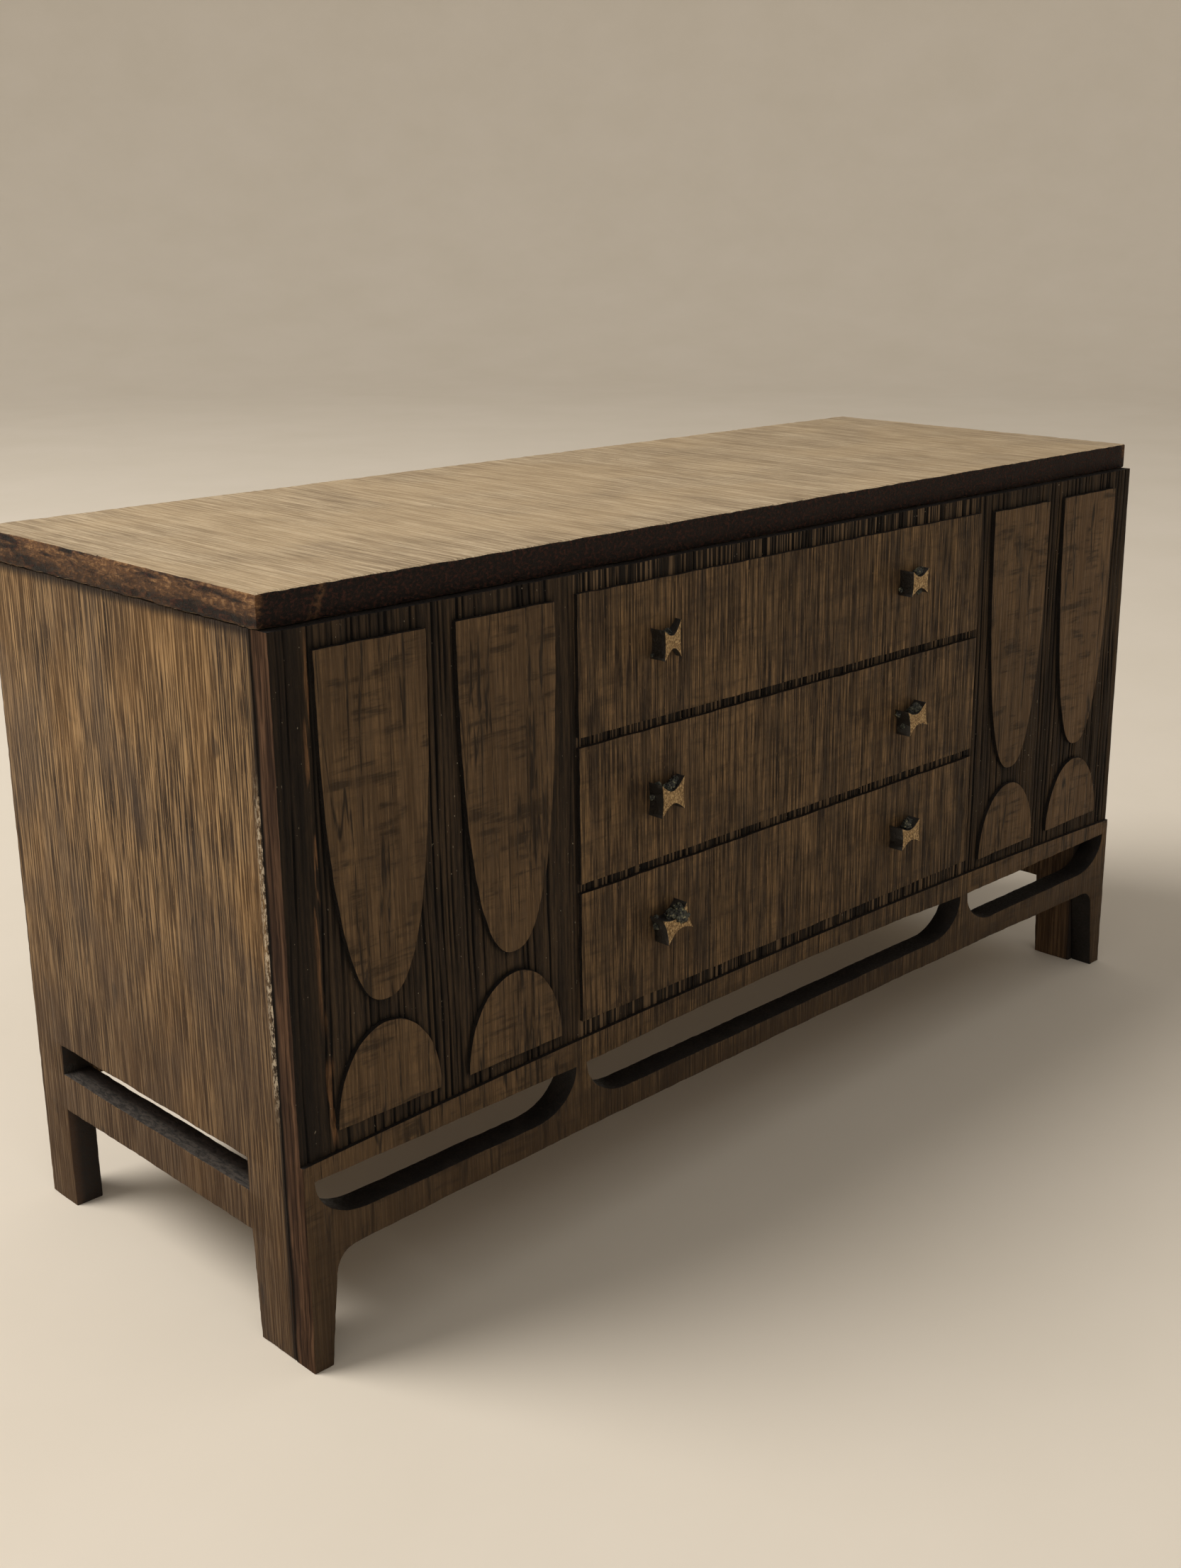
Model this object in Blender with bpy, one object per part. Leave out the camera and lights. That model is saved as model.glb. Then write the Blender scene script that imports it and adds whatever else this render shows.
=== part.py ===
"""Miniature chest of drawers for a dolls' house, glued up from laser-cut wooden sheet.

Metres, +Z up, front facing -Y, origin on the floor under the middle of the bounding box.
Three drawer fronts and eight cupboard motifs are left standing on the engraved front sheet,
so nothing opens. Every sheet piece has the same thickness and is glued to its neighbours.
"""
import math

import bmesh
import bpy

MM = 0.001

# The sheet and the carcass
SHEET = 3.2 * MM
JOINT_GAP = 0.3 * MM
BODY_LENGTH = 140.0 * MM
BODY_DEPTH = 50.0 * MM
BODY_HEIGHT = 72.1 * MM

# The top board, glued on a little too far back
TOP_LENGTH = 140.4 * MM
TOP_DEPTH = 49.5 * MM
TOP_SETBACK = 1.6 * MM

# The pulls, and the coordinates of the front face and the two ends
PULL_THICKNESS = 1.8 * MM
PULL_WIDTH = 4.0 * MM
PULL_HEIGHT = 3.2 * MM
PULL_WAIST = 1.4 * MM
PULL_SIDE_BOW = 0.2 * MM
PULL_REACH = JOINT_GAP + PULL_THICKNESS
FRONT_Y = (PULL_REACH - TOP_SETBACK - TOP_DEPTH) / 2
REAR_Y = FRONT_Y + BODY_DEPTH
LEFT_X = -BODY_LENGTH / 2
RIGHT_X = BODY_LENGTH / 2

# Legs, apron and slots of the front sheet
FOOT_WIDTH = 2.2 * MM
LEG_TOP_WIDTH = 3.2 * MM
LEG_CORNER_RADIUS = 2.4 * MM
APRON_Z = 11.9 * MM
APRON_CROWN = 0.7 * MM
SLOT_BOTTOM_Z = 15.3 * MM
SLOT_TOP_Z = 20.0 * MM
SLOT_END_RUN = 6.0 * MM
SLOT_MARGIN = 1.3 * MM
NECK_WIDTH = 1.6 * MM
NECK_X = 34.6 * MM
MIDDLE_SLOT_CROWN = 0.8 * MM

# The engraving and what it leaves standing
ENGRAVE_DEPTH = 0.5 * MM
ENGRAVE_BASE_Z = 21.9 * MM
ENGRAVE_CROWN = 1.4 * MM
DRAWER_WIDTH = 68.8 * MM
DRAWER_SPANS_Z = ((24.9 * MM, 39.1 * MM), (40.2 * MM, 54.7 * MM), (55.8 * MM, 70.45 * MM))
MOTIF_CENTRES_X = (43.6 * MM, 59.55 * MM)
MOTIF_HALF_WIDTH = 6.2 * MM
ARCH_TOP_Z = 70.2 * MM
ARCH_TIP_Z = 35.65 * MM
ARCH_ROUNDNESS = 2.4
DOME_BASE_Z = 24.3 * MM
DOME_TOP_Z = 33.4 * MM
DOME_ROUNDNESS = 2.0

# Legs, rail and slot of the end panels, with distances back from the front face
END_FRONT_LEG_END = 9.4 * MM
END_REAR_LEG_START = 44.8 * MM
END_LEG_TAPER = 0.5 * MM
END_RAIL_Z = 11.8 * MM
END_SLOT_BOTTOM_Z = 16.1 * MM
END_SLOT_TOP_Z = 19.55 * MM

# Back and bottom boards, held between the end panels
BACK_BOTTOM_Z = 13.7 * MM
BOTTOM_BOARD_Z = 20.4 * MM

# Each pull: name, middle (across from the body's middle, up) and turn in degrees
PULLS = (
    ("pull_upper_left", -22.3 * MM, 63.9 * MM, 1.0),
    ("pull_middle_left", -22.4 * MM, 47.2 * MM, 0.0),
    ("pull_lower_left", -22.1 * MM, 32.9 * MM, 16.0),
    ("pull_upper_right", 19.8 * MM, 64.1 * MM, -2.0),
    ("pull_middle_right", 20.1 * MM, 47.3 * MM, 9.0),
    ("pull_lower_right", 19.6 * MM, 32.6 * MM, 4.0),
)

CURVE_STEPS = 14
CROWN_STEPS = 16
CUTTER_MARGIN = 1.0 * MM

WALNUT = (0.20, 0.13, 0.075)
WALNUT_TOP = (0.36, 0.28, 0.19)
BARE_WOOD = (0.50, 0.36, 0.20)


def clear_scene():
    for item in list(bpy.data.objects):
        bpy.data.objects.remove(item, do_unlink=True)


def wood_material(name, colour, roughness):
    material = bpy.data.materials.new(name)
    material.use_nodes = True
    shader = material.node_tree.nodes["Principled BSDF"]
    shader.inputs["Base Color"].default_value = (*colour, 1.0)
    shader.inputs["Roughness"].default_value = roughness
    shader.inputs["Metallic"].default_value = 0.0
    return material


def crown_height(x, half_run, rise):
    """Rise of a shallow arch over the middle of the body."""
    return rise * (1.0 - (x / half_run) ** 2)


def crown_points(x_from, x_to, base_z, half_run, rise):
    points = []
    for step in range(CROWN_STEPS + 1):
        x = x_from + (x_to - x_from) * step / CROWN_STEPS
        points.append((x, base_z + crown_height(x, half_run, rise)))
    return points


def quarter_curve(centre, run, rise, start_degrees, end_degrees, roundness=2.0):
    """Points of a quarter (super)ellipse about centre, ends included."""
    points = []
    for step in range(CURVE_STEPS + 1):
        angle = math.radians(start_degrees + (end_degrees - start_degrees) * step / CURVE_STEPS)
        cosine = math.cos(angle)
        sine = math.sin(angle)
        across = math.copysign(abs(cosine) ** (2.0 / roundness), cosine)
        up = math.copysign(abs(sine) ** (2.0 / roundness), sine)
        points.append((centre[0] + run * across, centre[1] + rise * up))
    return points


def without_repeats(points):
    """The closed outline without points that lie on the one before."""
    kept = []
    for point in points:
        if not kept or math.dist(point, kept[-1]) > 0.01 * MM:
            kept.append(point)
    if math.dist(kept[0], kept[-1]) < 0.01 * MM:
        kept.pop()
    return kept


def mesh_object(name, mesh_maker):
    mesh = bpy.data.meshes.new(name)
    bm = bmesh.new()
    mesh_maker(bm)
    bmesh.ops.recalc_face_normals(bm, faces=bm.faces)
    bm.to_mesh(mesh)
    bm.free()
    item = bpy.data.objects.new(name, mesh)
    bpy.context.scene.collection.objects.link(item)
    return item


def add_prism(bm, outline, place, low, high):
    """Extrude a closed 2-D outline from low to high; place turns (a, b, depth) into x, y, z."""
    corners = without_repeats(outline)
    near = [bm.verts.new(place(a, b, low)) for a, b in corners]
    far = [bm.verts.new(place(a, b, high)) for a, b in corners]
    bm.faces.new(near)
    bm.faces.new(far[::-1])
    for index in range(len(corners)):
        bm.faces.new((near[index - 1], near[index], far[index], far[index - 1]))


def across_front(a, b, depth):
    return (a, depth, b)


def across_end(a, b, depth):
    return (depth, a, b)


def prism(name, outlines, place, low, high):
    def fill(bm):
        for outline in outlines:
            add_prism(bm, outline, place, low, high)
    return mesh_object(name, fill)


def box(name, low, high):
    outline = [(low[0], low[2]), (high[0], low[2]), (high[0], high[2]), (low[0], high[2])]
    return prism(name, [outline], across_front, low[1], high[1])


def cut_away(item, cutter):
    cutter.hide_render = True
    cutter.display_type = 'WIRE'
    modifier = item.modifiers.new("cut_" + cutter.name, 'BOOLEAN')
    modifier.operation = 'DIFFERENCE'
    modifier.solver = 'EXACT'
    modifier.object = cutter


def front_outline():
    """The front sheet's outer edge: two tapered legs, arched corners and a shallow apron."""
    inner_top = RIGHT_X - LEG_TOP_WIDTH
    corner_x = inner_top - LEG_CORNER_RADIUS
    corner_z = APRON_Z - LEG_CORNER_RADIUS
    right_corner = quarter_curve((corner_x, corner_z), LEG_CORNER_RADIUS, LEG_CORNER_RADIUS, 90, 0)
    left_corner = [(-x, z) for x, z in reversed(right_corner)]
    apron = crown_points(-corner_x, corner_x, APRON_Z, corner_x, APRON_CROWN)
    left_foot = [(LEFT_X, 0.0), (LEFT_X + FOOT_WIDTH, 0.0)]
    right_foot = [(RIGHT_X - FOOT_WIDTH, 0.0), (RIGHT_X, 0.0)]
    top = [(RIGHT_X, BODY_HEIGHT), (LEFT_X, BODY_HEIGHT)]
    return left_foot + left_corner + apron + right_corner + right_foot + top


def slot_outline(x_low, x_high, crown):
    """A tray-shaped slot: flat floor, rounded lower corners that end in pointed upper tips."""
    rise = SLOT_TOP_Z - SLOT_BOTTOM_Z
    left = quarter_curve((x_low + SLOT_END_RUN, SLOT_TOP_Z), SLOT_END_RUN, rise, 180, 270)
    right = quarter_curve((x_high - SLOT_END_RUN, SLOT_TOP_Z), SLOT_END_RUN, rise, 270, 360)
    top = crown_points(x_high, x_low, SLOT_TOP_Z, x_high, crown) if crown else []
    return left + right + top


def front_slots():
    outer_tip = LEFT_X + SLOT_MARGIN
    inner_tip = -NECK_X - NECK_WIDTH / 2
    middle_tip = -NECK_X + NECK_WIDTH / 2
    return [
        slot_outline(outer_tip, inner_tip, 0.0),
        slot_outline(middle_tip, -middle_tip, MIDDLE_SLOT_CROWN),
        slot_outline(-inner_tip, -outer_tip, 0.0),
    ]


def motif_outline(centre_x, flat_z, tip_z, roundness):
    """Half of a superellipse: flat at flat_z, round at tip_z."""
    rise = tip_z - flat_z
    centre = (centre_x, flat_z)
    half_turn = quarter_curve(centre, MOTIF_HALF_WIDTH, rise, 0, 90, roundness)
    return half_turn + quarter_curve(centre, MOTIF_HALF_WIDTH, rise, 90, 180, roundness)


def raised_outlines():
    half = DRAWER_WIDTH / 2
    outlines = [[(-half, low), (half, low), (half, high), (-half, high)] for low, high in DRAWER_SPANS_Z]
    for side in (-1, 1):
        for centre in MOTIF_CENTRES_X:
            outlines.append(motif_outline(side * centre, ARCH_TOP_Z, ARCH_TIP_Z, ARCH_ROUNDNESS))
            outlines.append(motif_outline(side * centre, DOME_BASE_Z, DOME_TOP_Z, DOME_ROUNDNESS))
    return outlines


def engraving_cutter():
    """The thin slab of wood that the laser burns away around the raised shapes."""
    outer = RIGHT_X + CUTTER_MARGIN
    lower_edge = crown_points(-outer, outer, ENGRAVE_BASE_Z, RIGHT_X, ENGRAVE_CROWN)
    outline = lower_edge + [(outer, BODY_HEIGHT + CUTTER_MARGIN), (-outer, BODY_HEIGHT + CUTTER_MARGIN)]
    slab = prism("engraved_ground", [outline], across_front, FRONT_Y - CUTTER_MARGIN, FRONT_Y + ENGRAVE_DEPTH)
    raised = prism("raised_shapes", raised_outlines(), across_front,
                   FRONT_Y - 2 * CUTTER_MARGIN, FRONT_Y + ENGRAVE_DEPTH + CUTTER_MARGIN)
    cut_away(slab, raised)
    return slab


def make_front_panel():
    panel = prism("front_panel", [front_outline()], across_front, FRONT_Y, FRONT_Y + SHEET)
    slots = prism("front_slots", front_slots(), across_front,
                  FRONT_Y - CUTTER_MARGIN, FRONT_Y + SHEET + CUTTER_MARGIN)
    cut_away(panel, slots)
    cut_away(panel, engraving_cutter())
    return panel


def end_outline():
    """An end panel seen from the side: two legs under a straight rail."""
    front = FRONT_Y + SHEET + JOINT_GAP
    front_leg = FRONT_Y + END_FRONT_LEG_END
    rear_leg = FRONT_Y + END_REAR_LEG_START
    return [
        (front, 0.0),
        (front_leg - END_LEG_TAPER, 0.0),
        (front_leg, END_RAIL_Z),
        (rear_leg, END_RAIL_Z),
        (rear_leg, 0.0),
        (REAR_Y, 0.0),
        (REAR_Y, BODY_HEIGHT),
        (front, BODY_HEIGHT),
    ]


def make_end_panel(name, x_low):
    panel = prism(name, [end_outline()], across_end, x_low, x_low + SHEET)
    low = (x_low - CUTTER_MARGIN, FRONT_Y + END_FRONT_LEG_END, END_SLOT_BOTTOM_Z)
    high = (x_low + SHEET + CUTTER_MARGIN, FRONT_Y + END_REAR_LEG_START, END_SLOT_TOP_Z)
    cut_away(panel, box(name + "_slot", low, high))
    return panel


def make_top_board():
    low = (-TOP_LENGTH / 2, FRONT_Y + TOP_SETBACK, BODY_HEIGHT + JOINT_GAP)
    high = (TOP_LENGTH / 2, FRONT_Y + TOP_SETBACK + TOP_DEPTH, BODY_HEIGHT + JOINT_GAP + SHEET)
    return box("top_board", low, high)


def make_back_panel():
    inside = RIGHT_X - SHEET - JOINT_GAP
    return box("back_panel", (-inside, REAR_Y - SHEET, BACK_BOTTOM_Z), (inside, REAR_Y, BODY_HEIGHT))


def make_bottom_board():
    inside = RIGHT_X - SHEET - JOINT_GAP
    low = (-inside, FRONT_Y + SHEET + JOINT_GAP, BOTTOM_BOARD_Z)
    high = (inside, REAR_Y - SHEET - JOINT_GAP, BOTTOM_BOARD_Z + SHEET)
    return box("bottom_board", low, high)


def pull_outline():
    """A bow tie: pointed corners, deep curves above and below, slightly hollow sides."""
    half_width = PULL_WIDTH / 2
    half_height = PULL_HEIGHT / 2
    notch = half_height - PULL_WAIST / 2
    top = []
    right = []
    for step in range(CURVE_STEPS):
        turn = math.pi * step / CURVE_STEPS
        travel = 1.0 - 2.0 * step / CURVE_STEPS
        top.append((-half_width * travel, half_height - notch * math.sin(turn)))
        right.append((half_width - PULL_SIDE_BOW * math.sin(turn), half_height * travel))
    return top + right + [(-x, -z) for x, z in top + right]


def make_pull(name, x, z, turn_degrees):
    pull = prism(name, [pull_outline()], across_front, -PULL_THICKNESS, 0.0)
    pull.location = (x, FRONT_Y - JOINT_GAP, z)
    pull.rotation_euler = (0.0, math.radians(-turn_degrees), 0.0)
    return pull


def dress(item, material):
    item.data.materials.append(material)


def build():
    clear_scene()
    dress(make_front_panel(), wood_material("front_walnut", WALNUT, 0.75))
    dress(make_end_panel("left_end_panel", LEFT_X), wood_material("left_end_walnut", WALNUT, 0.7))
    dress(make_end_panel("right_end_panel", RIGHT_X - SHEET), wood_material("right_end_walnut", WALNUT, 0.7))
    dress(make_back_panel(), wood_material("back_walnut", WALNUT, 0.75))
    dress(make_bottom_board(), wood_material("bottom_walnut", WALNUT, 0.75))
    dress(make_top_board(), wood_material("top_walnut", WALNUT_TOP, 0.6))
    for name, x, z, turn in PULLS:
        dress(make_pull(name, x, z, turn), wood_material(name + "_wood", BARE_WOOD, 0.6))


build()
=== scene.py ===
"""Looks of the miniature chest of drawers: laser-cut walnut sheet, charred wherever the beam went."""
import math

import bmesh
import bpy
import numpy as np
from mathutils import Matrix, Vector, noise
from mathutils.geometry import tessellate_polygon


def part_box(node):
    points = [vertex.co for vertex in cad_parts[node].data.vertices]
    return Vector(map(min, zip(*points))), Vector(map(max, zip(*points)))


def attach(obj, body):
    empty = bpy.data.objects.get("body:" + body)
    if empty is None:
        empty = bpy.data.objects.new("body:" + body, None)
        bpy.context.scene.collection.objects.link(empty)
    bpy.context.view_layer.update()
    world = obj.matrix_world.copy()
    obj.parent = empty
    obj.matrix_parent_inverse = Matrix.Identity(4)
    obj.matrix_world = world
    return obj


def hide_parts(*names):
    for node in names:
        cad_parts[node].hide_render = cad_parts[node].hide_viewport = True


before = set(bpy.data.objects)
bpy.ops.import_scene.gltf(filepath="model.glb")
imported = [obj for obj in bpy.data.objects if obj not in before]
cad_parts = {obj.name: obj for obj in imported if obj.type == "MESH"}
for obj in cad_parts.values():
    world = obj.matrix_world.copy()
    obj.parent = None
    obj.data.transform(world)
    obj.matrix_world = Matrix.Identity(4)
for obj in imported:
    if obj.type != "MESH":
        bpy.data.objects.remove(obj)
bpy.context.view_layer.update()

MM = 0.001
SEED = 1926

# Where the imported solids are
front_low, front_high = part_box("front_panel")
left_low, left_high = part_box("left_end_panel")
right_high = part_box("right_end_panel")[1]
top_low, top_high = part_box("top_board")
back_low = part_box("back_panel")[0]
bottom_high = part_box("bottom_board")[1]
FRONT_Y = front_low.y
REAR_Y = left_high.y
HALF = front_high.x
SHEET = front_high.y - front_low.y
SEAM = 0.04 * MM
BODY_TOP = top_low.z - SEAM

# Outline of the front sheet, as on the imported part
FOOT_WIDTH = 2.2 * MM
LEG_TOP_WIDTH = 3.2 * MM
LEG_CORNER = 2.4 * MM
APRON_Z = 11.9 * MM
APRON_CROWN = 0.7 * MM
SLOT_BOTTOM_Z = 15.3 * MM
SLOT_TOP_Z = 20.0 * MM
SLOT_END_RUN = 6.0 * MM
SLOT_MARGIN = 1.3 * MM
NECK_X = 34.6 * MM
NECK_WIDTH = 1.6 * MM
MIDDLE_SLOT_CROWN = 0.8 * MM
ENGRAVE_DEPTH = 0.5 * MM
ENGRAVE_BASE_Z = 21.9 * MM
ENGRAVE_CROWN = 1.4 * MM
DRAWER_HALF = 34.4 * MM
DRAWER_SPANS_Z = ((24.9 * MM, 39.1 * MM), (40.2 * MM, 54.7 * MM), (55.8 * MM, 70.45 * MM))
MOTIF_CENTRES_X = (43.6 * MM, 59.55 * MM)
MOTIF_HALF = 6.2 * MM
ARCH_TOP_Z = 70.2 * MM
ARCH_TIP_Z = 35.65 * MM
ARCH_ROUNDNESS = 2.4
DOME_BASE_Z = 24.3 * MM
DOME_TOP_Z = 33.4 * MM

# Outline of the ends, with distances back from the front face
END_FRONT_LEG_END = 9.4 * MM
END_REAR_LEG_START = 44.8 * MM
END_LEG_TAPER = 0.5 * MM
END_RAIL_Z = 11.8 * MM
END_SLOT_BOTTOM_Z = 16.1 * MM
END_SLOT_TOP_Z = 19.55 * MM

# Pulls. Each is glued on by hand, so no two stand alike. After its turn in degrees come its width, its height
# at the left and at the right, and how far its left and right sides stand off the glue, all in mm.
PULL_WAIST = 1.4 * MM
PULL_SIDE_BOW = 0.2 * MM
PULL_GLUE = 0.25
PULLS = {
    "pull_upper_left": (1.0, 3.75, 3.2, 4.1, 1.85, 0.60),
    "pull_middle_left": (0.0, 4.3, 3.6, 3.6, 1.85, 0.95),
    "pull_lower_left": (16.0, 4.0, 3.2, 3.2, 1.85, 1.70),
    "pull_upper_right": (-2.0, 3.9, 3.0, 3.0, 1.80, 1.20),
    "pull_middle_right": (9.0, 3.9, 3.2, 3.0, 1.80, 1.55),
    "pull_lower_right": (4.0, 3.9, 3.0, 3.0, 1.80, 1.55),
}
# Burnt resin and glue round each pull: (across, up, out, radius) of each lump in mm, from the pull's middle
GLUE = {
    "pull_upper_left": ((-0.5, 0.75, 0.55, 0.45), (0.3, 0.85, 0.35, 0.40), (-1.6, -1.3, 0.1, 0.35)),
    "pull_middle_left": ((-0.3, 0.95, 1.00, 0.50), (0.35, 1.00, 0.80, 0.48), (0.9, 1.25, 0.65, 0.45),
                         (1.4, 1.5, 0.5, 0.32), (-1.2, 1.3, 0.5, 0.40), (-2.1, 0.2, 0.5, 0.30)),
    "pull_lower_left": ((0.7, 0.55, 1.60, 0.90), (0.0, 0.9, 1.2, 0.70), (1.5, 0.1, 1.45, 0.65),
                        (1.2, 1.1, 1.3, 0.60), (-1.9, 0.4, 0.6, 0.35), (-1.5, 1.3, 0.5, 0.30)),
    "pull_upper_right": ((0.5, 1.05, 0.8, 0.55), (1.3, 1.2, 0.6, 0.40), (1.0, -1.25, 0.7, 0.42),
                         (-1.9, -0.9, 0.3, 0.3)),
    "pull_middle_right": ((0.8, 1.00, 1.1, 0.62), (0.0, 0.95, 0.9, 0.50), (-1.5, -0.6, 0.9, 0.50),
                          (-1.9, 1.0, 0.4, 0.35)),
    "pull_lower_right": ((0.2, 1.05, 1.0, 0.60), (1.0, 1.15, 0.8, 0.50), (0.9, -1.2, 0.5, 0.35)),
}

# Finish of the cut edges. Chips have broken off the front edge of each end between two heights.
CHAMFER = 0.12 * MM
EDGE_STEP = 0.35 * MM
EDGE_WOBBLE = 0.03 * MM
STRIATION = 0.012 * MM
CHIP = 0.35 * MM
CHIPPED_Z = (27.0 * MM, 57.0 * MM)

# Engraved ground: spacing and width in mm and number of its wide and of its narrow grooves, the points of
# its grid across and up, and how far from a wall the darkening reaches, partly real overburn and partly
# painted shade
WIDE_GROOVES = (0.74, 0.15, 260)
NARROW_GROOVES = (0.37, 0.08, 520)
GROUND_COLUMNS = 1500
GROUND_ROWS = 36
BURN_AND_SHADE_REACH = 0.7 * MM

# The doors' calmer figure starts this far from the middle, in mm
DOORS_X = 35.8

# Camera: in front of the left end and a little above
CAMERA_PLACE = (-0.15632, -0.15407, 0.10722)
CAMERA_FORWARD = (0.6900, 0.6653, -0.2850)
LENS_MM = 42.44
SENSOR_MM = 36.0
FRAME_SHIFT = (-0.0479, -0.0203)


# ---------------------------------------------------------------- outlines

def crown_points(x_from, x_to, base_z, half_run, rise, steps=40):
    """A shallow arch of height rise, at base_z where x is half_run away from the middle."""
    points = []
    for step in range(steps + 1):
        x = x_from + (x_to - x_from) * step / steps
        points.append((x, base_z + rise * (1.0 - (x / half_run) ** 2)))
    return points


def quarter_curve(centre, run, rise, start, end, roundness=2.0, steps=24):
    """Part of an ellipse between two angles in degrees; roundness above 2 makes it squarer."""
    points = []
    for step in range(steps + 1):
        angle = math.radians(start + (end - start) * step / steps)
        across = math.copysign(abs(math.cos(angle)) ** (2.0 / roundness), math.cos(angle))
        up = math.copysign(abs(math.sin(angle)) ** (2.0 / roundness), math.sin(angle))
        points.append((centre[0] + run * across, centre[1] + rise * up))
    return points


def without_repeats(points):
    kept = []
    for point in points:
        if not kept or math.dist(point, kept[-1]) > 0.01 * MM:
            kept.append(point)
    if math.dist(kept[0], kept[-1]) < 0.01 * MM:
        kept.pop()
    return kept


def front_outline():
    """The front sheet with its two legs and its arched apron."""
    inner_top = HALF - LEG_TOP_WIDTH
    corner_x = inner_top - LEG_CORNER
    right = quarter_curve((corner_x, APRON_Z - LEG_CORNER), LEG_CORNER, LEG_CORNER, 90, 0)
    left = [(-x, z) for x, z in reversed(right)]
    apron = crown_points(-corner_x, corner_x, APRON_Z, corner_x, APRON_CROWN)
    feet = [(HALF - FOOT_WIDTH, 0.0), (HALF, 0.0), (HALF, BODY_TOP), (-HALF, BODY_TOP)]
    return [(-HALF, 0.0), (-HALF + FOOT_WIDTH, 0.0)] + left + apron + right + feet


def slot_outline(x_low, x_high, crown):
    rise = SLOT_TOP_Z - SLOT_BOTTOM_Z
    left = quarter_curve((x_low + SLOT_END_RUN, SLOT_TOP_Z), SLOT_END_RUN, rise, 180, 270)
    right = quarter_curve((x_high - SLOT_END_RUN, SLOT_TOP_Z), SLOT_END_RUN, rise, 270, 360)
    top = crown_points(x_high, x_low, SLOT_TOP_Z, x_high, crown) if crown else []
    return left + right + top


def front_slots():
    outer = -HALF + SLOT_MARGIN
    inner = -NECK_X - NECK_WIDTH / 2
    middle = -NECK_X + NECK_WIDTH / 2
    return [
        slot_outline(outer, inner, 0.0),
        slot_outline(middle, -middle, MIDDLE_SLOT_CROWN),
        slot_outline(-inner, -outer, 0.0),
    ]


def motif_outline(centre_x, flat_z, tip_z, roundness):
    """Half an oval: an arch when its tip is below its flat side, a dome when it is above."""
    centre = (centre_x, flat_z)
    rise = tip_z - flat_z
    half_turn = quarter_curve(centre, MOTIF_HALF, rise, 0, 90, roundness)
    return half_turn + quarter_curve(centre, MOTIF_HALF, rise, 90, 180, roundness)


def raised_outlines():
    outlines = []
    for low, high in DRAWER_SPANS_Z:
        outlines.append(rectangle(-DRAWER_HALF, DRAWER_HALF, low, high))
    for side in (-1, 1):
        for centre in MOTIF_CENTRES_X:
            outlines.append(motif_outline(side * centre, ARCH_TOP_Z, ARCH_TIP_Z, ARCH_ROUNDNESS))
            outlines.append(motif_outline(side * centre, DOME_BASE_Z, DOME_TOP_Z, 2.0))
    return outlines


def end_outline():
    """An end sheet from the side: distance back, then height."""
    front = FRONT_Y + SHEET + SEAM
    front_leg = FRONT_Y + END_FRONT_LEG_END
    rear_leg = FRONT_Y + END_REAR_LEG_START
    return [
        (front, 0.0), (front_leg - END_LEG_TAPER, 0.0), (front_leg, END_RAIL_Z),
        (rear_leg, END_RAIL_Z), (rear_leg, 0.0), (REAR_Y, 0.0), (REAR_Y, BODY_TOP), (front, BODY_TOP),
    ]


def rectangle(a_low, a_high, b_low, b_high):
    return [(a_low, b_low), (a_high, b_low), (a_high, b_high), (a_low, b_high)]


def pull_outline(width, left_height, right_height):
    """A bow tie: pointed corners, deep curves above and below, slightly hollow sides."""
    half_width = width / 2
    steps = 18
    top = []
    bottom = []
    left = []
    right = []
    for step in range(steps):
        turn = math.pi * step / steps
        travel = step / steps
        half_height = (left_height + (right_height - left_height) * travel) / 2
        notch = half_height - PULL_WAIST / 2
        across = -half_width + width * travel
        top.append((across, half_height - notch * math.sin(turn)))
        bottom.append((across, -half_height + notch * math.sin(turn)))
        bow = PULL_SIDE_BOW * math.sin(turn)
        right.append((half_width - bow, right_height / 2 * (1 - 2 * travel)))
        left.append((-half_width + bow, left_height / 2 * (2 * travel - 1)))
    corner = (half_width, -right_height / 2)
    return top + right + [corner] + bottom[:0:-1] + left


# ---------------------------------------------------------------- mesh making

def area(ring):
    return 0.5 * sum(ring[i - 1][0] * ring[i][1] - ring[i][0] * ring[i - 1][1] for i in range(len(ring)))


def resample(ring, step):
    """The same ring with points at least every step, corners kept."""
    points = []
    for index in range(len(ring)):
        start = ring[index]
        end = ring[(index + 1) % len(ring)]
        count = max(1, round(math.dist(start, end) / step))
        for part in range(count):
            t = part / count
            points.append((start[0] + (end[0] - start[0]) * t, start[1] + (end[1] - start[1]) * t))
    return points


def left_normals(ring):
    """At each point the mitred direction to the left of travel, and how far one unit of inset reaches."""
    result = []
    for index in range(len(ring)):
        a = Vector(ring[index - 1])
        b = Vector(ring[index])
        c = Vector(ring[(index + 1) % len(ring)])
        before = (b - a).normalized()
        after = (c - b).normalized()
        n_before = Vector((-before.y, before.x))
        n_after = Vector((-after.y, after.x))
        middle = n_before + n_after
        middle = middle.normalized() if middle.length > 1e-6 else n_before
        result.append((middle, 1.0 / max(0.5, middle.dot(n_before))))
    return result


def shifted(ring, distances):
    """Every point of the ring moved to the left of travel by its own distance."""
    points = []
    for point, (normal, reach), distance in zip(ring, left_normals(ring), distances):
        points.append((point[0] + normal.x * reach * distance, point[1] + normal.y * reach * distance))
    return points


def wander(rng, count, span, reach):
    """Smooth seeded noise along a closed ring: about one swing every span points."""
    knots = max(4, int(count / span))
    values = rng.normal(0.0, 1.0, knots)
    values = np.append(values, values[0])
    places = np.linspace(0, knots, count, endpoint=False)
    return np.clip(np.interp(places, np.arange(knots + 1), values), -1.5, 1.5) * reach


def oriented(ring, counter_clockwise):
    return ring if (area(ring) > 0) == counter_clockwise else ring[::-1]


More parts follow.
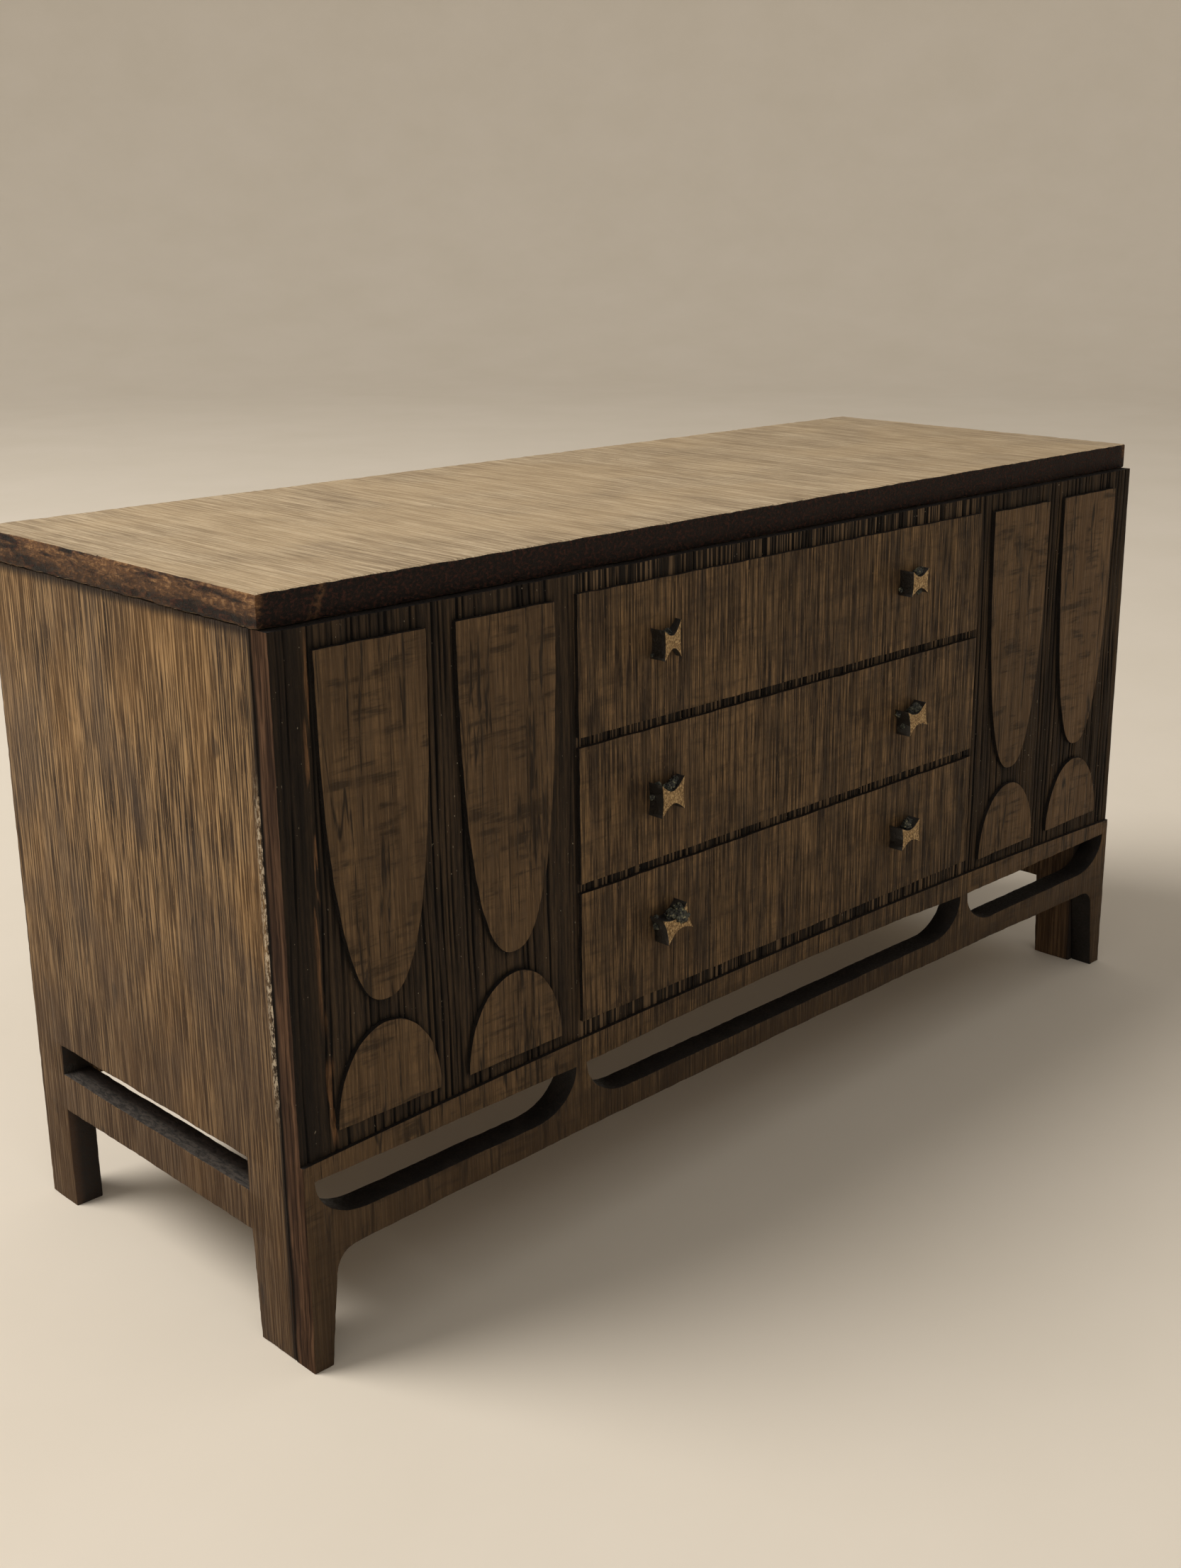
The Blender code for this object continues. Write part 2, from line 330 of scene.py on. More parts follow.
def sheet_mesh(outline, holes, thickness, place, seed, chamfer=CHAMFER, wear=0.5, wobble=EDGE_WOBBLE,
               step=EDGE_STEP, chipped=None):
    """One laser-cut sheet with worn chamfers and a faintly wavy, striated cut edge.

    chipped(a, b) tells where along the near edge the wood has broken away in small chips."""
    rng = np.random.default_rng(seed)
    bm = bmesh.new()
    faces_near = []
    faces_far = []
    for number, ring in enumerate([outline] + holes):
        ring = oriented(resample(without_repeats(ring), step), number == 0)
        count = len(ring)
        wave = wander(rng, count, 9, wobble) + wander(rng, count, 1.6, STRIATION)
        bite_near = chamfer * (1.0 + wear * np.abs(wander(rng, count, 3.0, 1.0)))
        bite_far = chamfer * (1.0 + wear * np.abs(wander(rng, count, 3.0, 1.0)))
        if chipped:
            chips = rng.uniform(0.0, CHIP, count)
            bite_near += [chip if chipped(a, b) else 0.0 for chip, (a, b) in zip(chips, ring)]
        # Six rings of points down the edge: how deep each lies, and how far in from the outline
        levels = [
            (0.0 * bite_near, wave + bite_near),
            (0.3 * bite_near, wave + 0.3 * bite_near),
            (1.0 * bite_near, wave),
            (thickness - bite_far, wave + 0.2 * wander(rng, count, 6, wobble)),
            (thickness - 0.3 * bite_far, wave + 0.3 * bite_far),
            (thickness + 0.0 * bite_far, wave + bite_far),
        ]
        rows = []
        for depths, insets in levels:
            points = shifted(ring, insets)
            rows.append([bm.verts.new(place(a, b, depth)) for (a, b), depth in zip(points, depths)])
        for upper, lower in zip(rows, rows[1:]):
            for index in range(count):
                bm.faces.new((upper[index - 1], upper[index], lower[index], lower[index - 1]))
        faces_near.append((shifted(ring, levels[0][1]), rows[0]))
        faces_far.append((shifted(ring, levels[-1][1]), rows[-1]))
    for caps in (faces_near, faces_far):
        verts = [v for _, row in caps for v in row]
        polygons = [[Vector((a, b, 0.0)) for a, b in points] for points, _ in caps]
        for triangle in tessellate_polygon(polygons):
            bm.faces.new([verts[i] for i in triangle])
    bmesh.ops.recalc_face_normals(bm, faces=bm.faces)
    return bm


def to_object(name, bm, smooth_degrees=35.0):
    mesh = bpy.data.meshes.new(name)
    bm.to_mesh(mesh)
    bm.free()
    return mesh_to_object(name, mesh, smooth_degrees)


def mesh_to_object(name, mesh, smooth_degrees=35.0):
    mesh.name = name
    mesh.polygons.foreach_set("use_smooth", [True] * len(mesh.polygons))
    mesh.set_sharp_from_angle(angle=math.radians(smooth_degrees))
    item = bpy.data.objects.new(name, mesh)
    bpy.context.scene.collection.objects.link(item)
    return item


def prism_bm(rings, low, high):
    """Plain prisms across Y, used only as cutters."""
    bm = bmesh.new()
    for ring in rings:
        near = [bm.verts.new((a, low, b)) for a, b in ring]
        far = [bm.verts.new((a, high, b)) for a, b in ring]
        bm.faces.new(near)
        bm.faces.new(far[::-1])
        for index in range(len(ring)):
            bm.faces.new((near[index - 1], near[index], far[index], far[index - 1]))
    bmesh.ops.recalc_face_normals(bm, faces=bm.faces)
    return bm


def subtract(item, cutter):
    """Makes item a plain mesh of itself minus the cutter, which is thrown away."""
    modifier = item.modifiers.new("cut", 'BOOLEAN')
    modifier.operation = 'DIFFERENCE'
    modifier.solver = 'EXACT'
    modifier.object = cutter
    graph = bpy.context.evaluated_depsgraph_get()
    mesh = bpy.data.meshes.new_from_object(item.evaluated_get(graph))
    item.modifiers.clear()
    item.data = mesh
    bpy.data.objects.remove(cutter)


def groove_depth(x, z, size, values, seed):
    """0..1: narrow grooves, unevenly spaced and unevenly deep, fading in and out as they climb."""
    pitch, width, count = size
    strengths, offsets = values
    across = x / pitch + count / 2
    number = int(across)
    gap = (across - number - 0.5 - offsets[number]) * pitch
    fade = 0.75 + 0.9 * noise.noise((number * 3.7, z * 0.11, seed))
    return strengths[number] * min(1.0, max(0.15, fade)) * math.exp(-(gap / width) ** 2)


def rib_depths(xs, zs):
    """How far the burnt ground departs from its mean depth: grooves between ribs of the grain. All in mm."""
    rng = np.random.default_rng(SEED + 7)

    def groove_values(count, mean):
        return np.clip(rng.normal(mean, 0.35, count), 0.0, 1.1), rng.uniform(-0.25, 0.25, count)

    wide = groove_values(WIDE_GROOVES[2], 0.65)
    narrow = groove_values(NARROW_GROOVES[2], 0.35)
    result = np.zeros(xs.shape)
    for spot in np.ndindex(xs.shape):
        x = xs[spot]
        z = zs[spot]
        drift = 0.8 * noise.noise((x * 0.05, z * 0.04, 3.0))
        drifted = x + drift + 0.10 * noise.noise((x * 0.4, z * 0.16, 8.0))
        deep = groove_depth(drifted, z, WIDE_GROOVES, wide, 21.0)
        shallow = groove_depth(drifted, z, NARROW_GROOVES, narrow, 57.0)
        swell = noise.noise((x * 0.3, z * 0.05, 14.0))
        result[spot] = -0.05 + 0.20 * deep + 0.09 * shallow + 0.04 * swell
    return np.clip(result, -0.12, 0.22)


def ground_slab():
    """A slab across the whole front above the engraving line, with the ribs on its back."""
    margin = 1.0 * MM
    x = np.linspace(-HALF - margin, HALF + margin, GROUND_COLUMNS)
    base = ENGRAVE_BASE_Z + ENGRAVE_CROWN * (1.0 - (x / HALF) ** 2)
    climb = np.linspace(0.0, 1.0, GROUND_ROWS)
    xs = np.repeat(x[:, None], GROUND_ROWS, axis=1)
    zs = base[:, None] + (BODY_TOP + margin - base[:, None]) * climb[None, :]
    ys = FRONT_Y + ENGRAVE_DEPTH + rib_depths(xs / MM, zs / MM) * MM
    bm = bmesh.new()
    back = []
    front = []
    for i in range(GROUND_COLUMNS):
        back.append([bm.verts.new((xs[i, j], ys[i, j], zs[i, j])) for j in range(GROUND_ROWS)])
        front.append([bm.verts.new((xs[i, j], FRONT_Y - margin, zs[i, j])) for j in (0, -1)])
    for i in range(GROUND_COLUMNS - 1):
        for j in range(GROUND_ROWS - 1):
            bm.faces.new((back[i][j], back[i][j + 1], back[i + 1][j + 1], back[i + 1][j]))
        bm.faces.new((front[i][0], front[i + 1][0], front[i + 1][1], front[i][1]))
        bm.faces.new((front[i][0], back[i][0], back[i + 1][0], front[i + 1][0]))
        bm.faces.new((front[i][1], front[i + 1][1], back[i + 1][-1], back[i][-1]))
    bm.faces.new([front[0][0], front[0][1]] + back[0][::-1])
    bm.faces.new([front[-1][1], front[-1][0]] + back[-1])
    bmesh.ops.recalc_face_normals(bm, faces=bm.faces)
    return bm


def engraving_cutter():
    """The wood that the beam takes away: the ribbed slab, less the raised shapes."""
    slab = to_object("engraved_ground", ground_slab())
    rng = np.random.default_rng(SEED + 3)
    rings = []
    for ring in raised_outlines():
        ring = oriented(resample(without_repeats(ring), 0.5 * MM), True)
        rings.append(shifted(ring, wander(rng, len(ring), 2.5, 0.03 * MM)))
    bm = prism_bm(rings, FRONT_Y - 2 * MM, FRONT_Y + ENGRAVE_DEPTH + MM)
    subtract(slab, to_object("raised_shapes", bm))
    return slab


# ---------------------------------------------------------------- finishes

def srgb(red, green, blue):
    """Linear colour of an 8-bit screen colour."""
    shares = [level / 255 for level in (red, green, blue)]
    linear = [((share + 0.055) / 1.055) ** 2.4 if share > 0.04 else share / 12.92 for share in shares]
    return (*linear, 1.0)


class Finish:
    """A Principled material, with short calls for the nodes that feed it. Lengths are in millimetres."""

    def __init__(self, name, specular=0.3):
        self.material = bpy.data.materials.new(name)
        self.material.use_nodes = True
        self.tree = self.material.node_tree
        self.shader = self.tree.nodes["Principled BSDF"]
        self.shader.inputs["Specular IOR Level"].default_value = specular
        coords = self.tree.nodes.new("ShaderNodeTexCoord")
        self.place = self.scaled(coords.outputs["Object"], (1000.0, 1000.0, 1000.0))
        split = self.tree.nodes.new("ShaderNodeSeparateXYZ")
        self.tree.links.new(self.place, split.inputs[0])
        self.x, self.y, self.z = split.outputs

    def put(self, socket, value):
        """Feeds a socket from another node, or sets its own value."""
        if isinstance(value, bpy.types.NodeSocket):
            self.tree.links.new(value, socket)
        else:
            socket.default_value = value

    def scaled(self, vector, scale, shift=(0.0, 0.0, 0.0)):
        node = self.tree.nodes.new("ShaderNodeMapping")
        self.put(node.inputs["Vector"], vector)
        node.inputs["Scale"].default_value = scale
        node.inputs["Location"].default_value = shift
        return node.outputs[0]

    def noise(self, scale, detail=3.0, roughness=0.55, distortion=0.0, shift=0.0, low=None, high=None):
        """Noise with scale swings per millimetre on each axis. low..high, if given, is stretched to 0..1."""
        node = self.tree.nodes.new("ShaderNodeTexNoise")
        self.put(node.inputs["Vector"], self.scaled(self.place, scale, (shift, shift * 0.7, shift * 1.3)))
        node.inputs["Scale"].default_value = 1.0
        node.inputs["Detail"].default_value = detail
        node.inputs["Roughness"].default_value = roughness
        node.inputs["Distortion"].default_value = distortion
        value = node.outputs["Fac"]
        return self.span(value, low, high) if low is not None else value

    def span(self, value, low, high, to_low=0.0, to_high=1.0):
        """value going smoothly from to_low at low to to_high at high, and no further."""
        node = self.tree.nodes.new("ShaderNodeMapRange")
        node.interpolation_type = 'SMOOTHSTEP'
        self.put(node.inputs["Value"], value)
        node.inputs["From Min"].default_value = low
        node.inputs["From Max"].default_value = high
        node.inputs["To Min"].default_value = to_low
        node.inputs["To Max"].default_value = to_high
        return node.outputs["Result"]

    def window(self, value, low, high, soft):
        """1 between low and high, 0 outside, with soft shoulders."""
        rising = self.span(value, low - soft, low + soft)
        falling = self.span(value, high - soft, high + soft, 1.0, 0.0)
        return self.times(rising, falling)

    def near(self, value, level, inner, outer):
        """1 where value is within inner of level, falling to 0 at outer."""
        return self.span(self.math('ABSOLUTE', self.math('SUBTRACT', value, level)), inner, outer, 1.0, 0.0)

    def times(self, *values):
        product = values[0]
        for value in values[1:]:
            product = self.math('MULTIPLY', product, value)
        return product

    def blend(self, tone, *weighted):
        """tone plus each (value - 0.5) times its weight."""
        for value, weight in weighted:
            tone = self.math('ADD', self.times(self.math('SUBTRACT', value, 0.5), weight), tone)
        return tone

    def math(self, operation, a, b=0.0):
        node = self.tree.nodes.new("ShaderNodeMath")
        node.operation = operation
        self.put(node.inputs[0], a)
        self.put(node.inputs[1], b)
        return node.outputs[0]

    def mix(self, factor, a, b):
        """Colour a turning into colour b as factor goes from 0 to 1."""
        node = self.tree.nodes.new("ShaderNodeMix")
        node.data_type = 'RGBA'
        self.put(node.inputs["Factor"], factor)
        self.put(node.inputs[6], a)
        self.put(node.inputs[7], b)
        return node.outputs[2]

    def ramp(self, value, stops):
        node = self.tree.nodes.new("ShaderNodeValToRGB")
        self.put(node.inputs[0], value)
        elements = node.color_ramp.elements
        while len(elements) < len(stops):
            elements.new(0.5)
        for element, (position, colour) in zip(elements, stops):
            element.position = position
            element.color = colour
        return node.outputs[0]

    def bump(self, height, distance, strength=1.0):
        node = self.tree.nodes.new("ShaderNodeBump")
        node.inputs["Distance"].default_value = distance * MM
        node.inputs["Strength"].default_value = strength
        self.put(node.inputs["Height"], height)
        return node.outputs[0]

    def done(self, colour, roughness, normal=None):
        self.put(self.shader.inputs["Base Color"], colour)
        self.put(self.shader.inputs["Roughness"], roughness)
        if normal is not None:
            self.put(self.shader.inputs["Normal"], normal)
        return self.material


def darker(colour, share):
    return tuple(c * share for c in colour[:3]) + (1.0,)


def along(axis, across, lengthways):
    """Noise scale that is coarse along the grain axis and fine across it."""
    return tuple(lengthways if index == axis else across for index in range(3))


def wood(name, tones, axis, shift, weights, curl=0.5, lines=0.0, specular=0.25, roughness=(0.55, 0.8),
         relief=1.0):
    """Walnut face: fibres and stripes along the grain, cloudy patches, cross figure, pores and pale flecks.

    weights says how strongly fibres, stripes, broad streaks, clouds and pores show, curl the same for the
    cross figure and lines for the long wandering dark lines. Returns finish, colour, roughness, normal."""
    f = Finish(name, specular)
    dark, middle, light = tones
    fibre = f.noise(along(axis, 4.3, 0.11), 3.0, 0.65, 0.1, shift, 0.37, 0.63)
    stripes = f.noise(along(axis, 3.1, 0.06), 2.0, 0.55, 0.12, shift + 7, 0.38, 0.62)
    streak = f.noise(along(axis, 0.7, 0.022), 3.0, 0.55, 0.25, shift + 11, 0.32, 0.68)
    cloud = f.noise(along(axis, 0.16, 0.10), 4.0, 0.62, 0.5, shift + 23, 0.32, 0.68)
    tone = f.blend(0.5, (fibre, weights[0]), (stripes, weights[1]), (streak, weights[2]), (cloud, weights[3]))
    colour = f.ramp(tone, [(0.20, dark), (0.50, middle), (0.80, light)])
    rungs = f.noise(along(axis, 0.17, 0.60), 4.0, 0.65, 0.4, shift + 31, 0.45, 0.68)
    colour = f.mix(f.times(rungs, curl), colour, darker(dark, 1.1))
    contour = f.noise(along(axis, 0.50, 0.026), 1.5, 0.4, 0.3, shift + 37)
    colour = f.mix(f.times(f.near(contour, 0.5, 0.005, 0.035), lines), colour, darker(dark, 0.7))
    pores = f.noise(along(axis, 4.2, 0.14), 2.0, 0.5, 0.0, shift + 41, 0.57, 0.66)
    colour = f.mix(f.times(pores, weights[4]), colour, darker(dark, 0.45))
    flecks = f.noise(along(axis, 5.5, 1.2), 2.0, 0.5, 0.0, shift + 53, 0.64, 0.74)
    colour = f.mix(f.times(flecks, 0.5), colour, light)
    rough = f.span(fibre, 0.0, 1.0, roughness[1], roughness[0])
    height = f.math('SUBTRACT', f.math('ADD', fibre, stripes), f.times(pores, 0.9))
    return f, colour, rough, f.bump(height, 0.03 * relief)


def front_walnut():
    """Face of the front sheet. The drawers are finely striped; the doors are calmer, with a cross figure."""
    tones = (srgb(36, 27, 19), srgb(86, 67, 46), srgb(130, 103, 70))
    weights = (0.46, 0.38, 0.10, 0.24, 0.9)
    f, colour, rough, normal = wood("front_walnut", tones, 2, 5.0, weights, 0.55, 0.12, 0.2)
    faded = f.noise((0.9, 0.9, 0.30), 3.0, 0.6, 0.3, 83.0, 0.40, 0.62)
    colour = f.mix(f.times(faded, 0.42), colour, srgb(92, 73, 50))
    grit = f.noise((5.0, 5.0, 1.1), 2.0, 0.6, 0.0, 93.0, 0.34, 0.70)
    colour = f.mix(f.times(grit, 0.32), colour, srgb(44, 33, 23))
    on_doors = f.span(f.math('ABSOLUTE', f.x), DOORS_X - 0.6, DOORS_X + 0.6)
    smears = f.noise((0.38, 0.38, 0.055), 3.0, 0.6, 0.3, 97.0, 0.50, 0.70)
    colour = f.mix(f.times(smears, 0.42), colour, srgb(44, 35, 27))
    lower_drawers = f.times(f.math('SUBTRACT', 1.0, on_doors), f.span(f.z, 25.0, 55.0, 0.16, 0.0))
    colour = f.mix(lower_drawers, colour, srgb(36, 27, 18))
    colour = f.mix(f.times(on_doors, 0.55), colour, srgb(92, 72, 50))
    colour = f.mix(f.span(f.x, 38.0, 64.0, 0.0, 0.16), colour, srgb(128, 100, 74))
    rungs = f.noise((0.13, 0.13, 0.85), 4.0, 0.66, 0.3, 19.0, 0.46, 0.64)
    broken = f.noise((0.30, 0.30, 0.20), 2.0, 0.5, 0.3, 29.0, 0.40, 0.58)
    contour = f.noise((0.42, 0.42, 0.022), 2.0, 0.45, 0.35, 47.0)
    ragged = f.noise((2.4, 2.4, 0.30), 2.0, 0.6, 0.2, 51.0, 0.36, 0.56)
    long_line = f.times(f.near(contour, 0.5, 0.004, 0.030), ragged, 0.95)
    figure = f.math('MAXIMUM', f.times(rungs, broken, 0.72), long_line)
    colour = f.mix(f.times(figure, on_doors), colour, srgb(34, 26, 18))
    low = f.span(f.z, 11.0, 24.0, 0.68, 0.0)
    return f.done(f.mix(low, colour, srgb(52, 39, 26)), rough, normal)


def charred_ground():
    """Burnt, ribbed wood: black in the grooves, brown on the ribs, with slivers that the beam missed."""
    f = Finish("charred_ground", 0.15)
    mean_y = (FRONT_Y + ENGRAVE_DEPTH) / MM
    rib = f.span(f.y, mean_y + 0.09, mean_y - 0.025)
    fine = f.noise((6.0, 6.0, 0.5), 3.0, 0.6, 0.0, 9.0, 0.3, 0.7)
    line = f.noise((3.2, 3.2, 0.05), 2.0, 0.5, 0.15, 3.0, 0.36, 0.64)
    wide = f.noise((0.3, 0.3, 0.05), 2.0, 0.5, 0.3, 13.0, 0.35, 0.65)
    tone = f.blend(0.5, (fine, 0.34), (wide, 0.22), (line, 0.44))
    face = f.ramp(tone, [(0.15, srgb(29, 23, 18)), (0.50, srgb(49, 39, 29)), (0.85, srgb(69, 55, 40))])
    corner = f.span(f.x, -68.5, -63.5, 0.62, 0.0)
    face = f.mix(corner, face, srgb(18, 14, 12))
    between_drawers = f.times(f.span(f.math('ABSOLUTE', f.x), 34.9, 34.3), f.span(f.z, 22.0, 26.0, 0.7, 1.0))
    bars = f.noise((2.9, 2.9, 0.05), 2.0, 0.5, 0.1, 31.0, 0.47, 0.61)
    bars = f.ramp(bars, [(0.0, srgb(14, 11, 10)), (1.0, srgb(112, 92, 70))])
    face = f.mix(f.times(between_drawers, 0.85), face, bars)
    colour = f.mix(rib, srgb(11, 9, 8), face)
    # Partly real overburn and partly painted shade: the ground turns near-black next to the raised shapes,
    # where their walls would shade it.
    burn_and_wall_shade = f.tree.nodes.new("ShaderNodeAttribute")
    burn_and_wall_shade.attribute_name = "burn_and_wall_shade"
    overburn_and_wall_shade = f.span(burn_and_wall_shade.outputs["Fac"], 0.25, 1.0, 0.0, 0.85)
    overburn_and_wall_shade = f.times(overburn_and_wall_shade, f.math('SUBTRACT', 1.0, f.times(between_drawers, 0.75)))
    colour = f.mix(overburn_and_wall_shade, colour, srgb(8, 7, 6))
    missed = f.noise((1.6, 1.6, 0.10), 2.0, 0.5, 0.3, 77.0, 0.54, 0.60)
    left_of_arch = f.times(f.window(f.x, -66.8, -66.0, 0.25), f.window(f.z, 36.0, 71.0, 3.0))
    left_of_dome = f.times(f.window(f.x, -66.5, -65.6, 0.3), f.window(f.z, 23.0, 31.0, 1.0))
    sliver = f.times(missed, f.math('MAXIMUM', left_of_arch, left_of_dome), f.span(fine, 0.2, 0.7, 0.4, 0.9))
    colour = f.mix(sliver, colour, srgb(112, 82, 56))
    specks = f.noise((4.5, 4.5, 2.2), 1.0, 0.5, 0.0, 17.0, 0.76, 0.80)
    colour = f.mix(f.times(specks, 0.7), colour, srgb(160, 150, 130))
    return f.done(colour, f.span(rib, 0.0, 1.0, 0.9, 0.7), f.bump(fine, 0.04, 0.9))


def char(name="char", tone=(30, 25, 22), shift=0.0, gloss=0.0):
    """A through-cut edge: soot with a faint brown grain. gloss adds the shine of burnt resin."""
    f = Finish(name, 0.3 + gloss)
    fine = f.noise((3.0, 3.0, 3.0), 4.0, 0.65, 0.2, shift)
    patch = f.noise((0.5, 0.5, 0.5), 2.0, 0.5, 0.3, shift + 5, 0.45, 0.75)
    base = srgb(*tone)
    colour = f.mix(patch, darker(base, 0.5), base)
    colour = f.mix(f.times(f.span(fine, 0.55, 0.75), 0.4), colour, srgb(60, 44, 34))
    rough = f.span(fine, 0.3, 0.7, 0.5 - 0.25 * gloss, 0.85 - 0.4 * gloss)
    return f.done(colour, rough, f.bump(fine, 0.06 + 0.12 * gloss, 0.8))


def end_cut(name, shift, outer_x):
    """Cut edges of an end sheet: ash-grey and scratched near the outer face of the slot floor, partly real
    ash and partly painted light, black further in.
    """
    f = Finish(name, 0.3)
    fine = f.noise((3.0, 1.2, 3.0), 4.0, 0.65, 0.4, shift)
    inset = f.math('ABSOLUTE', f.math('SUBTRACT', f.x, outer_x / MM))
    soot = f.ramp(fine, [(0.35, srgb(20, 16, 14)), (0.7, srgb(44, 34, 28))])
    scratch = f.noise((2.6, 0.8, 1.0), 3.0, 0.7, 1.2, shift + 3, 0.35, 0.65)
    ash = f.ramp(scratch, [(0.1, srgb(30, 27, 25)), (0.9, srgb(62, 56, 51))])
    # Partly real ash and partly painted light: a grey, scratched band on the outer half of the slot floor,
    # where that half catches the light and the inner half lies in shade.
    slot_floor_painted_light = f.window(f.z, 14.5, 17.0, 0.4)
    colour = f.mix(f.times(f.span(inset, 1.9, 1.3), slot_floor_painted_light), soot, ash)
    brown = f.times(f.span(inset, 1.3, 0.2), f.span(f.z, 14.0, 10.0), 0.4)
    colour = f.mix(brown, colour, srgb(84, 60, 42))
    return f.done(colour, f.span(fine, 0.3, 0.7, 0.55, 0.85), f.bump(fine, 0.06, 0.8))


def scorched_edge():
    """The front sheet's outer cut edges: scorched red-brown, streaked lengthwise, with painted shade making
    them black at the seam.
    """
    f = Finish("scorched_edge", 0.04)
    streak = f.noise((2.6, 2.0, 0.08), 3.0, 0.6, 0.3, 2.0, 0.3, 0.7)
    patch = f.noise((0.3, 0.6, 0.12), 3.0, 0.6, 0.4, 8.0, 0.40, 0.7)
    colour = f.ramp(streak, [(0.05, srgb(38, 28, 22)), (0.5, srgb(68, 50, 38)), (0.95, srgb(94, 71, 54))])
    colour = f.mix(f.times(patch, 0.6), colour, srgb(38, 28, 24))
    # Painted shade: the edge turns near-black towards its back, where it meets the joint with the end sheet.
    seam = f.span(f.y, front_high.y / MM - 0.6, front_high.y / MM - 0.25)
    colour = f.mix(f.times(seam, 0.95), colour, srgb(12, 10, 9))
    return f.done(colour, 0.85, f.bump(streak, 0.06, 0.7))


def end_walnut(name, shift):
    """Face of an end sheet: golden brown, greyer in clouds, frayed beside the front seam, with painted shade
    darkening it low down, beside the front seam and under the top.
    """
    tones = (srgb(46, 34, 24), srgb(104, 81, 56), srgb(166, 135, 95))
    weights = (0.60, 0.24, 0.12, 0.12, 0.70)
    f, colour, rough, normal = wood(name, tones, 2, shift, weights, 0.10, 0.20, 0.2)
    golden = f.noise((0.10, 0.10, 0.035), 2.0, 0.5, 0.4, shift + 60, 0.46, 0.66)
    colour = f.mix(f.times(golden, 0.22), colour, srgb(150, 112, 66))
    grey = f.noise((0.10, 0.10, 0.045), 3.0, 0.6, 0.5, shift + 70, 0.44, 0.64)
    colour = f.mix(f.times(grey, 0.42), colour, srgb(82, 69, 59))
    # Painted shade: the end is painted darker towards the bottom, where less light falls on it.
    low = f.span(f.z, 2.0, 58.0, 0.80, 0.0)
    colour = f.mix(low, colour, srgb(64, 46, 30))
    stain = f.noise((0.45, 0.45, 0.18), 2.0, 0.5, 0.4, shift + 90, 0.66, 0.76)
    colour = f.mix(f.times(stain, 0.6), colour, srgb(44, 35, 29))
    from_seam = f.math('SUBTRACT', f.y, front_high.y / MM)
    chips = f.noise((3.0, 3.5, 1.6), 3.0, 0.7, 0.3, shift + 15, 0.44, 0.58)
    chipped = f.window(f.z, CHIPPED_Z[0] / MM, CHIPPED_Z[1] / MM, 4.0)
    frayed = f.times(chips, f.span(from_seam, 1.0, 0.5), chipped)
    colour = f.mix(f.times(frayed, 0.9), colour, srgb(186, 172, 150))
    # Painted shade: the end darkens into the joint with the front sheet, except where chips show pale wood.
    shade = f.span(from_seam, 1.2, 0.1, 0.0, 0.5)
    gap = f.span(from_seam, 0.45, 0.20, 0.0, 0.9)
    seam_shade = f.times(f.math('MAXIMUM', shade, gap), f.math('SUBTRACT', 1.0, frayed))
    colour = f.mix(seam_shade, colour, srgb(26, 19, 15))
    # Painted shadow: a dark band on the end just under the overhang of the top board.
    painted_shadow_under_top = f.span(f.z, BODY_TOP / MM - 1.3, BODY_TOP / MM - 0.2, 0.0, 0.9)
    return f.done(f.mix(painted_shadow_under_top, colour, srgb(30, 22, 18)), rough, normal)


def top_walnut():
    """Face of the top: pale, partly its own tone and partly a painted sheen of glancing light, with short
    dark fibres lying on it.
    """
    # Painted sheen: these tones are paler than the other walnut faces, standing in for light glancing off the
    # top.
    tones = (srgb(132, 115, 92), srgb(167, 148, 121), srgb(194, 176, 148))
    weights = (0.44, 0.10, 0.10, 0.16, 0.30)
    f, colour, rough, normal = wood("top_walnut", tones, 1, 61.0, weights, 0.05, 0.0, 0.2, (0.6, 0.8), 0.8)
    grit = f.noise((3.2, 1.6, 3.0), 3.0, 0.7, 0.3, 87.0, 0.30, 0.70)
    colour = f.mix(f.times(grit, 0.28), colour, tones[0])
    brushed = f.noise((0.9, 0.05, 0.9), 3.0, 0.6, 0.3, 82.0, 0.56, 0.72)
    spread = f.noise((0.06, 0.06, 0.06), 2.0, 0.5, 0.2, 91.0, 0.42, 0.60)
    colour = f.mix(f.times(brushed, spread, 0.45), colour, srgb(96, 80, 64))
    specks = f.noise((2.2, 1.1, 1.0), 1.0, 0.5, 0.5, 33.0, 0.80, 0.83)
    colour = f.mix(f.times(specks, 0.85), colour, srgb(44, 36, 30))
    warm = f.noise((0.05, 0.05, 0.05), 2.0, 0.5, 0.3, 44.0, 0.4, 0.6)
    return f.done(f.mix(f.times(warm, 0.3), colour, srgb(176, 153, 120)), rough, normal)


